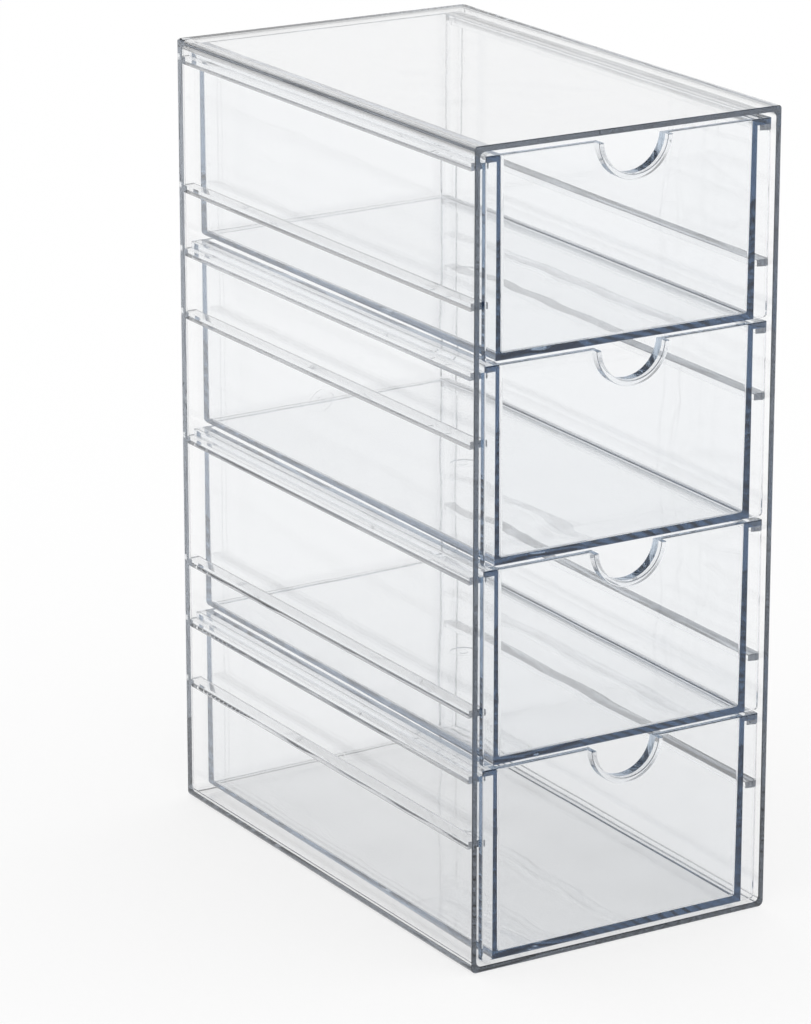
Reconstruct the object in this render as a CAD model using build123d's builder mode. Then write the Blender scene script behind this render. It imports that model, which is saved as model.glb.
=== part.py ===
from build123d import *

import os

# Clear moulded drawer tower: one open-fronted case and four hanging drawers.
# Millimetres, +Z up, the open front faces -Y.
# The origin is under the middle of the whole object, finger lips included.

# case
case_width = 105.0
case_depth = 175.0
case_height = 250.0
wall = 1.8
top_edge_radius = 1.0
bottom_edge_radius = 1.8
rear_edge_radius = 0.9
inner_edge_radius = 1.6  # along the two inner top edges and the two inner bottom edges
inner_rear_radius = 1.8  # round the back wall, inside

# rails: one moulding serves towers of three, four or six drawers, so some stay unused
rail_step = 20.4
rail_places = (0, 2, 3, 4, 6, 8, 9, 10)
rail_reach = 4.2
rail_height = 2.0  # at the tip
rail_draft = 0.45  # the underside falls by this from the tip to the root
rail_setback = 3.2  # from the front rim to the rails' front ends

# drawers
drawer_count = 4
steps_per_drawer = 3
ceiling_gap = 1.5
drawer_height = 60.0
drawer_length = 172.4
body_width = 89.4
flange_span = 97.9
flange_thickness = 2.1
flange_corner = 1.5
panel_thickness = 2.0
panel_corner = 1.0
panel_edge = 0.4
side_wall = 1.5  # at the top edge
rear_wall = 1.3  # at the top edge
drawer_floor = 1.6
draft = 0.5
body_edge_radius = 1.6
pocket_corner = 0.9
pocket_floor_radius = 0.9

# finger notch with its half-round lip
notch_radius = 11.0
notch_depth = 10.3
lip_thickness = 1.65
lip_reach = 2.7  # how far the lip stands in front of the panel
lip_edge = 0.35
notch_overcut = 1.0  # the cut runs this far past the panel, clear of the drafted wall behind it

# moulding gates
case_gate_radius = 4.25
drawer_gate_radius = 4.0
gate_depth = 0.4
nub_radius = 1.4

# places worked out from the sizes above
front_y = lip_reach - (case_depth + lip_reach) / 2
back_y = front_y + case_depth
inner_width = case_width - 2 * wall
inner_height = case_height - 2 * wall
first_drawer_top = case_height - wall - ceiling_gap
first_rail_top = first_drawer_top - flange_thickness
body_depth = drawer_length - panel_thickness
body_centre_y = front_y + panel_thickness + body_depth / 2


def make_case():
    """The open-fronted shell with its rails, as one moulding."""
    with BuildPart() as case:
        with BuildSketch(Plane.XZ.offset(-front_y)) as outline:
            with Locations((0, case_height / 2)):
                Rectangle(case_width, case_height)
            fillet(outline.vertices().group_by(Axis.Y)[0], bottom_edge_radius)
            fillet(outline.vertices().group_by(Axis.Y)[-1], top_edge_radius)
        extrude(outline.sketch, amount=-case_depth)
        fillet(case.faces().sort_by(Axis.Y)[-1].edges(), rear_edge_radius)

        add(make_cavity().part, mode=Mode.SUBTRACT)

        root_x = case_width / 2 - wall / 2  # half way into the wall
        tip_x = inner_width / 2 - rail_reach
        with BuildSketch(Plane.XZ.offset(-front_y - rail_setback)) as rails:
            for place in rail_places:
                top_z = first_rail_top - place * rail_step
                tip_z = top_z - rail_height
                Polygon((root_x, top_z), (tip_x, top_z), (tip_x, tip_z), (root_x, tip_z - rail_draft), align=None)
            mirror(about=Plane.YZ)
        extrude(rails.sketch, amount=rail_setback - case_depth + wall)

        with BuildSketch(Plane.XZ.offset(-back_y)) as gate:
            with Locations((0, case_height / 2)):
                Circle(case_gate_radius)
                Circle(nub_radius, mode=Mode.SUBTRACT)
        extrude(gate.sketch, amount=gate_depth, mode=Mode.SUBTRACT)
    return case


def make_cavity():
    """The case's inner space, open at the front."""
    with BuildPart() as cavity:
        with Locations((0, front_y + (case_depth - wall) / 2, case_height / 2)):
            Box(inner_width, case_depth - wall, inner_height)
        rear = cavity.faces().sort_by(Axis.Y)[-1]
        fillet(rear.edges(), inner_rear_radius)
        fillet(cavity.edges().filter_by(Axis.Y), inner_edge_radius)
    return cavity


def make_drawer():
    """The top drawer, hung by its side flanges on the top pair of rails."""
    top_z = first_drawer_top
    bottom_z = top_z - drawer_height
    middle_z = (top_z + bottom_z) / 2
    notch_z = top_z - notch_depth + notch_radius

    with BuildPart() as drawer:
        with Locations((0, body_centre_y, middle_z)):
            Box(body_width, body_depth, drawer_height)
        fillet(drawer.faces().sort_by(Axis.Z)[0].edges().sort_by(Axis.Y)[1:], body_edge_radius)

        with BuildSketch(Plane.XY.offset(top_z)) as flange:
            with Locations((0, body_centre_y)):
                Rectangle(flange_span, body_depth)
            fillet(flange.vertices().group_by(Axis.Y)[-1], flange_corner)
        extrude(flange.sketch, amount=-flange_thickness)

        with BuildSketch(Plane.XZ.offset(-front_y)) as panel:
            with Locations((0, middle_z)):
                Rectangle(flange_span, drawer_height)
            fillet(panel.vertices(), panel_corner)
        extrude(panel.sketch, amount=-panel_thickness)
        fillet(drawer.faces().sort_by(Axis.Y)[0].edges(), panel_edge)

        add(make_pocket(top_z).part, mode=Mode.SUBTRACT)

        with BuildSketch(Plane.XZ.offset(-front_y - panel_thickness)) as lip:
            with Locations((0, notch_z)):
                Circle(notch_radius + lip_thickness)
            with Locations((0, top_z + notch_radius)):
                Rectangle(4 * notch_radius, 2 * notch_radius, mode=Mode.SUBTRACT)
        extrude(lip.sketch, amount=panel_thickness + lip_reach)
        cut_depth = notch_overcut + panel_thickness + lip_reach
        with BuildSketch(Plane.XZ.offset(lip_reach - front_y - cut_depth)) as notch:
            with Locations((0, notch_z)):
                Circle(notch_radius)
        extrude(notch.sketch, amount=cut_depth, mode=Mode.SUBTRACT)
        fillet(drawer.faces().sort_by(Axis.Y)[0].edges(), lip_edge)

        with BuildSketch(Plane.XY.offset(bottom_z)) as gate:
            with Locations((0, body_centre_y)):
                Circle(drawer_gate_radius)
                Circle(nub_radius, mode=Mode.SUBTRACT)
        extrude(gate.sketch, amount=gate_depth, mode=Mode.SUBTRACT)
    return drawer


def make_pocket(top_z):
    """A drawer's inner space, drafted so that the walls are thicker at the floor."""
    with BuildPart() as pocket:
        with BuildSketch(Plane.XY.offset(top_z)):
            with Locations((0, body_centre_y - rear_wall / 2)):
                Rectangle(body_width - 2 * side_wall, body_depth - rear_wall)
        extrude(amount=-(drawer_height - drawer_floor), taper=draft)
        fillet(pocket.edges() - pocket.faces().filter_by(Axis.Z).edges(), pocket_corner)
        fillet(pocket.faces().sort_by(Axis.Z)[0].edges(), pocket_floor_radius)
    return pocket


os.makedirs("parts", exist_ok=True)

case = make_case()
case.part.label = "case"
export_step(case.part, "parts/case.step")

drawer = make_drawer()
for number in range(1, drawer_count + 1):
    drop = (number - 1) * steps_per_drawer * rail_step
    with BuildPart() as hung:
        add(drawer.part.moved(Location((0, 0, -drop))))
    hung.part.label = f"drawer_{number}"
    export_step(hung.part, f"parts/drawer_{number}.step")
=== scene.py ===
import math

import bmesh
import bpy
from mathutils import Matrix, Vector


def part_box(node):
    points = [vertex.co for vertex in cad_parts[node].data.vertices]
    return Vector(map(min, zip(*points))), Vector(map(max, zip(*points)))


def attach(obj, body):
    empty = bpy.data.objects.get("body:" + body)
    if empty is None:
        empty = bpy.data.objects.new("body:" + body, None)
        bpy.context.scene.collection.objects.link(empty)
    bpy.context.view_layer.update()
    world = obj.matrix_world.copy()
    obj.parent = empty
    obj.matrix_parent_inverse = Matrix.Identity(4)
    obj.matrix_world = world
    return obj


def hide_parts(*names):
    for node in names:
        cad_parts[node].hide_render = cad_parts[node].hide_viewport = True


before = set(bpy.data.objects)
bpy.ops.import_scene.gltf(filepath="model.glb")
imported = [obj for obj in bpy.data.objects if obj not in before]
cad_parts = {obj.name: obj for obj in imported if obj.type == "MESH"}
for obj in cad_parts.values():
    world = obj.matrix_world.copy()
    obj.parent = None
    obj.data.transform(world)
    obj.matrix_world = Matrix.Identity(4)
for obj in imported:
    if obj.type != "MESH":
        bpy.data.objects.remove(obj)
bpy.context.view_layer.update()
print("frame loaded:", sorted(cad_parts))

mm = 0.001
axisX, axisY, axisZ = 0, 1, 2


# ---- small helpers for work in edit mode

def deselectAll():
    if bpy.context.object and bpy.context.object.mode == "EDIT":
        bpy.ops.object.mode_set(mode="OBJECT")
    bpy.ops.object.select_all(action="DESELECT")


def startBox(name, low, high):
    deselectAll()
    middle = [(a + b) / 2 for a, b in zip(low, high)]
    bpy.ops.mesh.primitive_cube_add(size=1, location=middle)
    piece = bpy.context.object
    piece.name = name
    piece.scale = [b - a for a, b in zip(low, high)]
    bpy.ops.object.transform_apply(location=True, rotation=True, scale=True)
    return piece


def startRod(name, radius, low, high, axis, sides):
    deselectAll()
    middle = [(a + b) / 2 for a, b in zip(low, high)]
    length = high[axis] - low[axis]
    turn = {axisX: (0, math.pi / 2, 0), axisY: (math.pi / 2, 0, 0), axisZ: (0, 0, 0)}[axis]
    bpy.ops.mesh.primitive_cylinder_add(
        vertices=sides, radius=radius, depth=length, location=middle, rotation=turn)
    piece = bpy.context.object
    piece.name = name
    bpy.ops.object.transform_apply(location=True, rotation=True, scale=True)
    return piece


def pick(piece, kind, test):
    bpy.context.view_layer.objects.active = piece
    bpy.ops.object.mode_set(mode="EDIT")
    bpy.ops.mesh.select_mode(type=kind)
    bpy.ops.mesh.select_all(action="DESELECT")
    shape = bmesh.from_edit_mesh(piece.data)
    for part in {"VERT": shape.verts, "EDGE": shape.edges, "FACE": shape.faces}[kind]:
        if test(part):
            part.select_set(True)
    shape.select_flush_mode()
    bmesh.update_edit_mesh(piece.data)


def near(a, b):
    return abs(a - b) < 0.02 * mm


def bothAt(edge, axis, place):
    return near(edge.verts[0].co[axis], place) and near(edge.verts[1].co[axis], place)


def runsAlong(edge, axis):
    step = edge.verts[1].co - edge.verts[0].co
    return abs(step[axis]) > 0.99 * step.length


def middleOf(edge):
    return (edge.verts[0].co + edge.verts[1].co) / 2


def isSharp(edge):
    return edge.calc_face_angle(0) > math.radians(30)


def roundEdges(piece, test, radius, steps):
    pick(piece, "EDGE", test)
    bpy.ops.mesh.bevel(offset=radius, segments=steps, profile=0.5, affect="EDGES")
    bpy.ops.object.mode_set(mode="OBJECT")


def combine(piece, tool, how):
    change = piece.modifiers.new(how.lower(), "BOOLEAN")
    change.operation = how
    change.solver = "EXACT"
    change.object = tool
    deselectAll()
    bpy.context.view_layer.objects.active = piece
    bpy.ops.object.modifier_apply(modifier=change.name)
    bpy.data.objects.remove(tool)


def splitAt(piece, axis, place):
    spot, aim = [0, 0, 0], [0, 0, 0]
    spot[axis] = place
    aim[axis] = 1
    pick(piece, "VERT", lambda v: True)
    bpy.ops.mesh.bisect(plane_co=spot, plane_no=aim)
    bpy.ops.object.mode_set(mode="OBJECT")


def tidyMesh(piece):
    # merges what the cuts leave, then smooths the roundings and keeps the flats flat
    pick(piece, "VERT", lambda v: True)
    bpy.ops.mesh.remove_doubles(threshold=0.002 * mm)
    bpy.ops.mesh.dissolve_degenerate(threshold=0.002 * mm)
    bpy.ops.mesh.select_all(action="SELECT")
    bpy.ops.mesh.normals_make_consistent(inside=False)
    deselectAll()
    piece.select_set(True)
    bpy.context.view_layer.objects.active = piece
    bpy.ops.object.shade_smooth_by_angle(angle=math.radians(40))
    flats = piece.modifiers.new("flat faces", "WEIGHTED_NORMAL")
    flats.mode = "FACE_AREA"
    flats.weight = 100
    flats.keep_sharp = True
    bpy.ops.object.modifier_apply(modifier=flats.name)


def copyOf(piece, name, rise):
    twin = piece.copy()
    twin.data = piece.data.copy()
    twin.name = name
    bpy.context.scene.collection.objects.link(twin)
    for vertex in twin.data.vertices:
        vertex.co.z += rise
    return twin


# ---- the case: one moulding with its rails

caseLook = {
    "wall": 1.8 * mm,
    "topEdge": 1.0 * mm,
    "bottomEdge": 1.8 * mm,
    "rearEdge": 0.9 * mm,
    "innerEdge": 1.6 * mm,
    "innerRear": 1.8 * mm,
    "rimEdge": 0.35 * mm,
    "railStep": 20.4 * mm,
    "railPlaces": (0, 2, 3, 4, 6, 8, 9, 10),
    "railReach": 4.2 * mm,
    "railHeight": 2.0 * mm,  # at the tip
    "railDraft": 0.45 * mm,  # the underside falls by this from the tip to the root
    "railSetback": 3.2 * mm,
    "railEdge": 0.25 * mm,
    "flangeThickness": 2.1 * mm,
    "gateRadius": 4.25 * mm,
    "stubRadius": 1.4 * mm,
    "gateDepth": 0.4 * mm,
}


def makeGate(piece, radius, centre, axis):
    # a shallow ring sunk into the face, round the stub of the moulding gate
    depth = caseLook["gateDepth"]
    low, high = list(centre), list(centre)
    low[axis] -= depth
    high[axis] += depth
    ring = startRod("gate", radius, low, high, axis, 48)
    low[axis] -= depth
    high[axis] += depth
    stub = startRod("stub", caseLook["stubRadius"], low, high, axis, 32)
    combine(ring, stub, "DIFFERENCE")
    combine(piece, ring, "DIFFERENCE")


def makeHollow(low, high):
    look = caseLook
    wall = look["wall"]
    inLow = Vector((low.x + wall, low.y - 10 * mm, low.z + wall))
    inHigh = Vector((high.x - wall, high.y - wall, high.z - wall))
    hollow = startBox("hollow", inLow, inHigh)
    roundEdges(hollow, lambda e: bothAt(e, axisY, inHigh.y), look["innerRear"], 8)

    def onCorner(vertex):  # on one of the four long corners, or where it runs on over the rear rounding
        return near(inHigh.x - abs(vertex.co.x), min(vertex.co.z - inLow.z, inHigh.z - vertex.co.z))

    def followsCorner(edge):
        step = edge.verts[1].co - edge.verts[0].co
        staysPut = abs(step.x) < look["innerRear"] and abs(step.z) < look["innerRear"]
        return onCorner(edge.verts[0]) and onCorner(edge.verts[1]) and staysPut

    roundEdges(hollow, followsCorner, look["innerEdge"], 6)
    return hollow


def makeRails(low, high):
    look = caseLook
    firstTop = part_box("drawer_1")[1].z - look["flangeThickness"]
    frontY = low.y + look["railSetback"]
    rootX = high.x - look["wall"] / 2
    tipX = high.x - look["wall"] - look["railReach"]
    rails = startBox(
        "rails", (tipX, frontY, firstTop - look["railHeight"]), (rootX, high.y - look["wall"] / 2, firstTop))
    pick(rails, "VERT", lambda v: near(v.co.x, rootX) and v.co.z < firstTop - mm)
    bpy.ops.transform.translate(value=(0, 0, -look["railDraft"]))
    bpy.ops.object.mode_set(mode="OBJECT")
    roundEdges(
        rails, lambda e: bothAt(e, axisX, tipX) or (bothAt(e, axisY, frontY) and not bothAt(e, axisX, rootX)),
        look["railEdge"], 3)
    others = [copyOf(rails, "rail", -place * look["railStep"]) for place in look["railPlaces"][1:]]
    deselectAll()
    for piece in [rails, *others]:
        piece.select_set(True)
    bpy.context.view_layer.objects.active = rails
    bpy.ops.object.join()
    pair = rails.modifiers.new("both sides", "MIRROR")
    pair.use_axis = (True, False, False)
    pair.use_mirror_merge = False
    bpy.ops.object.modifier_apply(modifier=pair.name)
    return rails


def makeCase():
    look = caseLook
    low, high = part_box("case")
    shell = startBox("case_shell", low, high)
    roundEdges(shell, lambda e: runsAlong(e, axisY) and bothAt(e, axisZ, low.z), look["bottomEdge"], 6)
    roundEdges(shell, lambda e: runsAlong(e, axisY) and bothAt(e, axisZ, high.z), look["topEdge"], 5)
    roundEdges(shell, lambda e: bothAt(e, axisY, high.y), look["rearEdge"], 5)
    combine(shell, makeHollow(low, high), "DIFFERENCE")
    roundEdges(shell, lambda e: bothAt(e, axisY, low.y) and isSharp(e), look["rimEdge"], 3)
    combine(shell, makeRails(low, high), "UNION")
    makeGate(shell, look["gateRadius"], (0, high.y, (low.z + high.z) / 2), axisY)
    tidyMesh(shell)
    return shell


# ---- the drawers: one is modelled, the others are copies of it

drawerLook = {
    "bodyWidth": 89.4 * mm,
    "panel": 2.0 * mm,
    "panelCorner": 1.0 * mm,
    "panelEdge": 0.4 * mm,
    "flange": 2.1 * mm,
    "flangeCorner": 1.5 * mm,
    "sideWall": 1.5 * mm,
    "rearWall": 1.3 * mm,
    "floor": 1.6 * mm,
    "draft": math.radians(0.5),
    "bodyEdge": 1.6 * mm,
    "pocketCorner": 0.9 * mm,
    "pocketFloor": 0.9 * mm,
    "pocketRim": 0.2 * mm,
    "lipReach": 2.7 * mm,
    "lipThickness": 1.65 * mm,
    "lipEdge": 0.35 * mm,
    "notchRadius": 11.0 * mm,
    "notchDepth": 10.3 * mm,
    "notchSides": 144,
    "gateRadius": 4.0 * mm,
}


def makeOutside(low, high, frontY, panelBack):
    # the front panel, with the body and its flanges drawn out of its back
    look = drawerLook
    halfBody = look["bodyWidth"] / 2
    underFlange = high.z - look["flange"]
    drawer = startBox("drawer", (low.x, frontY, low.z), (high.x, panelBack, high.z))
    splitAt(drawer, axisX, halfBody)
    splitAt(drawer, axisX, -halfBody)
    splitAt(drawer, axisZ, underFlange)

    def goesBack(face):
        centre = face.calc_center_median()
        return near(centre.y, panelBack) and (abs(centre.x) < halfBody or centre.z > underFlange)

    pick(drawer, "FACE", goesBack)
    bpy.ops.mesh.extrude_region_move(TRANSFORM_OT_translate={"value": (0, high.y - panelBack, 0)})
    bpy.ops.mesh.select_mode(type="VERT")
    bpy.ops.mesh.select_all(action="SELECT")
    bpy.ops.mesh.dissolve_limited(angle_limit=math.radians(1))
    bpy.ops.object.mode_set(mode="OBJECT")
    return drawer


def roundOutside(drawer, low, high, frontY, panelBack):
    look = drawerLook
    outOfBody = look["bodyWidth"] / 2 + mm
    roundEdges(
        drawer, lambda e: runsAlong(e, axisZ) and bothAt(e, axisY, high.y) and abs(middleOf(e).x) > outOfBody,
        look["flangeCorner"], 6)
    roundEdges(
        drawer, lambda e: bothAt(e, axisZ, low.z) and middleOf(e).y > panelBack + mm, look["bodyEdge"], 5)
    roundEdges(
        drawer, lambda e: runsAlong(e, axisY) and middleOf(e).y < panelBack and abs(middleOf(e).x) > outOfBody,
        look["panelCorner"], 5)
    roundEdges(drawer, lambda e: bothAt(e, axisY, frontY) and isSharp(e), look["panelEdge"], 4)


def makePocket(low, high, panelBack):
    look = drawerLook
    slope = math.tan(look["draft"])
    overrun = 10 * mm
    halfWidth = look["bodyWidth"] / 2 - look["sideWall"]
    rear = high.y - look["rearWall"]
    floorZ = low.z + look["floor"]
    grow = overrun * slope
    pocket = startBox(
        "pocket", (-halfWidth - grow, panelBack - grow, floorZ), (halfWidth + grow, rear + grow, high.z + overrun))
    shrink = slope * (high.z - floorZ + overrun)
    pick(pocket, "VERT", lambda v: near(v.co.z, floorZ))
    bpy.ops.transform.resize(
        value=(1 - shrink / (halfWidth + grow), 1 - 2 * shrink / (rear - panelBack + 2 * grow), 1),
        center_override=(0, (panelBack + rear) / 2, floorZ))
    bpy.ops.object.mode_set(mode="OBJECT")
    roundEdges(pocket, lambda e: abs(e.verts[0].co.z - e.verts[1].co.z) > 20 * mm, look["pocketCorner"], 8)
    roundEdges(pocket, lambda e: bothAt(e, axisZ, floorZ), look["pocketFloor"], 6)
    return pocket


def makeLipDisc(frontY, topZ, panelBack, notchZ):
    look = drawerLook
    rearY = panelBack - look["panel"] / 2
    radius = look["notchRadius"] + look["lipThickness"]
    disc = startRod("lip", radius, (0, frontY, notchZ), (0, rearY, notchZ), axisY, look["notchSides"])
    pick(disc, "VERT", lambda v: True)
    bpy.ops.mesh.bisect(plane_co=(0, 0, topZ), plane_no=(0, 0, 1), clear_outer=True, use_fill=True)
    bpy.ops.object.mode_set(mode="OBJECT")
    return disc


def makeDrawer():
    look = drawerLook
    low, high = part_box("drawer_1")
    frontY = low.y + look["lipReach"]
    panelBack = frontY + look["panel"]
    drawer = makeOutside(low, high, frontY, panelBack)
    roundOutside(drawer, low, high, frontY, panelBack)

    combine(drawer, makePocket(low, high, panelBack), "DIFFERENCE")
    insideX = look["bodyWidth"] / 2 - look["sideWall"] + 0.1 * mm
    insideY = panelBack - 0.1 * mm, high.y - look["rearWall"] + 0.1 * mm
    roundEdges(
        drawer,
        lambda e: bothAt(e, axisZ, high.z) and isSharp(e) and abs(middleOf(e).x) < insideX
        and insideY[0] < middleOf(e).y < insideY[1],
        look["pocketRim"], 3)

    notchZ = high.z - look["notchDepth"] + look["notchRadius"]
    combine(drawer, makeLipDisc(low.y, high.z, panelBack, notchZ), "UNION")
    opening = startRod(
        "opening", look["notchRadius"], (0, low.y - 5 * mm, notchZ), (0, panelBack + mm, notchZ), axisY,
        look["notchSides"])
    combine(drawer, opening, "DIFFERENCE")
    roundEdges(drawer, lambda e: bothAt(e, axisY, low.y) and isSharp(e), look["lipEdge"], 4)

    makeGate(drawer, look["gateRadius"], (0, (panelBack + high.y) / 2, low.z), axisZ)
    tidyMesh(drawer)
    return drawer


# ---- clear plastic

plasticIor = 1.59
hazeScale = 60
hazeRoughness = 0.03

caseFinish = {
    "slot": "clear_case",
    "tint": (0.16, 0.22, 0.30),  # a colour's loss per metre is the density times one minus this
    "density": 12.5,
    "waviness": 0.10 * mm,
    "waveSize": 24 * mm,
}

drawerFinish = {
    "slot": "clear_drawer",
    "tint": (0.15, 0.32, 0.50),
    "density": 17.0,
    "waviness": 0.15 * mm,
    "waveSize": 22 * mm,
}


def clearPlastic(name, finish):
    material = bpy.data.materials.new(name)
    material.use_nodes = True
    nodes, links = material.node_tree.nodes, material.node_tree.links
    plastic = nodes["Principled BSDF"]
    output = nodes["Material Output"]
    plastic.inputs["Base Color"].default_value = (1, 1, 1, 1)
    plastic.inputs["IOR"].default_value = plasticIor
    plastic.inputs["Transmission Weight"].default_value = 1.0

    place = nodes.new("ShaderNodeTexCoord")

    wave = nodes.new("ShaderNodeTexNoise")  # slow waves of the moulded sheet
    wave.inputs["Scale"].default_value = 1 / finish["waveSize"]
    wave.inputs["Detail"].default_value = 0.0
    links.new(place.outputs["Object"], wave.inputs["Vector"])
    bump = nodes.new("ShaderNodeBump")
    bump.inputs["Strength"].default_value = 1.0
    bump.inputs["Distance"].default_value = finish["waviness"]
    links.new(wave.outputs["Fac"], bump.inputs["Height"])
    links.new(bump.outputs["Normal"], plastic.inputs["Normal"])

    haze = nodes.new("ShaderNodeTexNoise")  # faint handling marks in the polish
    haze.inputs["Scale"].default_value = hazeScale
    haze.inputs["Detail"].default_value = 4.0
    links.new(place.outputs["Object"], haze.inputs["Vector"])
    polish = nodes.new("ShaderNodeMapRange")
    polish.inputs["From Min"].default_value = 0.45
    polish.inputs["From Max"].default_value = 0.8
    polish.inputs["To Min"].default_value = 0.0
    polish.inputs["To Max"].default_value = hazeRoughness
    links.new(haze.outputs["Fac"], polish.inputs["Value"])
    links.new(polish.outputs["Result"], plastic.inputs["Roughness"])

    depth = nodes.new("ShaderNodeVolumeAbsorption")
    depth.inputs["Color"].default_value = (*finish["tint"], 1)
    depth.inputs["Density"].default_value = finish["density"]
    links.new(depth.outputs["Volume"], output.inputs["Volume"])
    return material


# ---- floor, light and camera

stageLook = {
    "floorRadius": 4.0,
    "floorGap": 0.2 * mm,  # the flat underside rests on its high spots, so light stays inside it
    "floorWhite": 0.28,
    "floorLift": 0.72,
}


def largestOf(nodes, links, outputs):
    best = outputs[0]
    for other in outputs[1:]:
        compare = nodes.new("ShaderNodeMath")
        compare.operation = "MAXIMUM"
        links.new(best, compare.inputs[0])
        links.new(other, compare.inputs[1])
        best = compare.outputs[0]
    return best


def makeFloor():
    deselectAll()
    bpy.ops.mesh.primitive_circle_add(
        vertices=64, radius=stageLook["floorRadius"], fill_type="NGON", location=(0, 0, -stageLook["floorGap"]))
    floor = bpy.context.object
    floor.name = "floor"
    material = bpy.data.materials.new("floor_paper")
    material.use_nodes = True
    nodes, links = material.node_tree.nodes, material.node_tree.links
    nodes.clear()
    output = nodes.new("ShaderNodeOutputMaterial")
    paper = nodes.new("ShaderNodeBsdfDiffuse")
    white = stageLook["floorWhite"]
    paper.inputs["Color"].default_value = (white, white, white, 1)
    glow = nodes.new("ShaderNodeEmission")
    path = nodes.new("ShaderNodeLightPath")
    seen = largestOf(
        nodes, links, [path.outputs[name] for name in ("Is Camera Ray", "Is Transmission Ray", "Is Glossy Ray")])
    lift = nodes.new("ShaderNodeMath")
    lift.operation = "MULTIPLY"
    lift.inputs[1].default_value = stageLook["floorLift"]
    links.new(seen, lift.inputs[0])
    links.new(lift.outputs[0], glow.inputs["Strength"])
    both = nodes.new("ShaderNodeAddShader")
    links.new(paper.outputs[0], both.inputs[0])
    links.new(glow.outputs[0], both.inputs[1])
    links.new(both.outputs[0], output.inputs["Surface"])
    floor.data.materials.append(material)
    return floor


studioLook = {
    # share of white against the sine of the height above the horizon
    "sky": ((0.00, 1.0), (0.15, 0.95), (0.31, 0.85), (0.50, 0.30), (0.85, 0.20), (0.95, 0.9), (1.0, 1.0)),
}


def makeStudio():
    world = bpy.data.worlds.new("studio")
    bpy.context.scene.world = world
    world.use_nodes = True
    nodes, links = world.node_tree.nodes, world.node_tree.links
    nodes.clear()
    output = nodes.new("ShaderNodeOutputWorld")
    place = nodes.new("ShaderNodeTexCoord")
    split = nodes.new("ShaderNodeSeparateXYZ")
    links.new(place.outputs["Generated"], split.inputs[0])
    ramp = nodes.new("ShaderNodeValToRGB")
    stops = ramp.color_ramp.elements
    while len(stops) > 1:
        stops.remove(stops[-1])
    for number, (where, share) in enumerate(studioLook["sky"]):
        stop = stops[0] if number == 0 else stops.new(where)
        stop.position = where
        stop.color = (share, share, share, 1)
    links.new(split.outputs["Z"], ramp.inputs["Fac"])
    world.cycles.sampling_method = "NONE"  # aimed samples don't say which kind of ray they are
    path = nodes.new("ShaderNodeLightPath")
    plain = largestOf(nodes, links, [path.outputs["Is Camera Ray"], path.outputs["Diffuse Depth"]])
    mix = nodes.new("ShaderNodeMix")
    mix.data_type = "RGBA"
    mix.clamp_factor = True
    links.new(plain, mix.inputs["Factor"])
    colours = [socket for socket in mix.inputs if socket.type == "RGBA"]
    links.new(ramp.outputs["Color"], colours[0])
    colours[1].default_value = (1, 1, 1, 1)
    background = nodes.new("ShaderNodeBackground")
    links.new([socket for socket in mix.outputs if socket.type == "RGBA"][0], background.inputs["Color"])
    links.new(background.outputs[0], output.inputs["Surface"])


cameraLook = {
    "fromFrontLeftFoot": (-0.695, -1.113, 0.553),  # from the case's front left corner, on the floor
    "yaw": 31.13,
    "pitch": 17.35,
    "focalPixels": 4802,
    "imageHeight": 1024,
    "sensor": 36.0,
}


def makeCamera():
    look = cameraLook
    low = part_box("case")[0]
    data = bpy.data.cameras.new("camera")
    camera = bpy.data.objects.new("camera", data)
    bpy.context.scene.collection.objects.link(camera)
    camera.location = low + Vector(look["fromFrontLeftFoot"])
    camera.rotation_euler = (math.radians(90 - look["pitch"]), 0, -math.radians(look["yaw"]))
    data.sensor_width = look["sensor"]
    data.lens = look["focalPixels"] / look["imageHeight"] * look["sensor"]
    data.clip_end = 20
    bpy.context.scene.camera = camera


# ---- put together

def dress(piece, name, node, body, material):
    piece.name = name
    piece.data.name = name
    piece.data.materials.clear()
    piece.data.materials.append(material)
    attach(piece, body)
    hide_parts(node)


clearCase = clearPlastic("clear_case", caseFinish)
clearDrawer = clearPlastic("clear_drawer", drawerFinish)

case = makeCase()
dress(case, "case_moulding", "case", "case", clearCase)
print("case:", len(case.data.polygons), "faces")

drawer = makeDrawer()
print("drawer:", len(drawer.data.polygons), "faces")
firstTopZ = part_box("drawer_1")[1].z
drawers = [drawer]
for number in (2, 3, 4):
    drawers.append(copyOf(drawer, "drawer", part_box(f"drawer_{number}")[1].z - firstTopZ))
for number, piece in enumerate(drawers, start=1):
    node = f"drawer_{number}"
    dress(piece, node + "_moulding", node, node, clearDrawer)
print("drawers placed")

makeFloor()
makeStudio()
makeCamera()
scene = bpy.context.scene
scene.view_settings.view_transform = "Standard"
edgeBounces = 128  # light runs along inside the walls, reflected many times
scene.cycles.max_bounces = edgeBounces
scene.cycles.transmission_bounces = edgeBounces
scene.cycles.glossy_bounces = edgeBounces
print("stage, studio and camera ready")
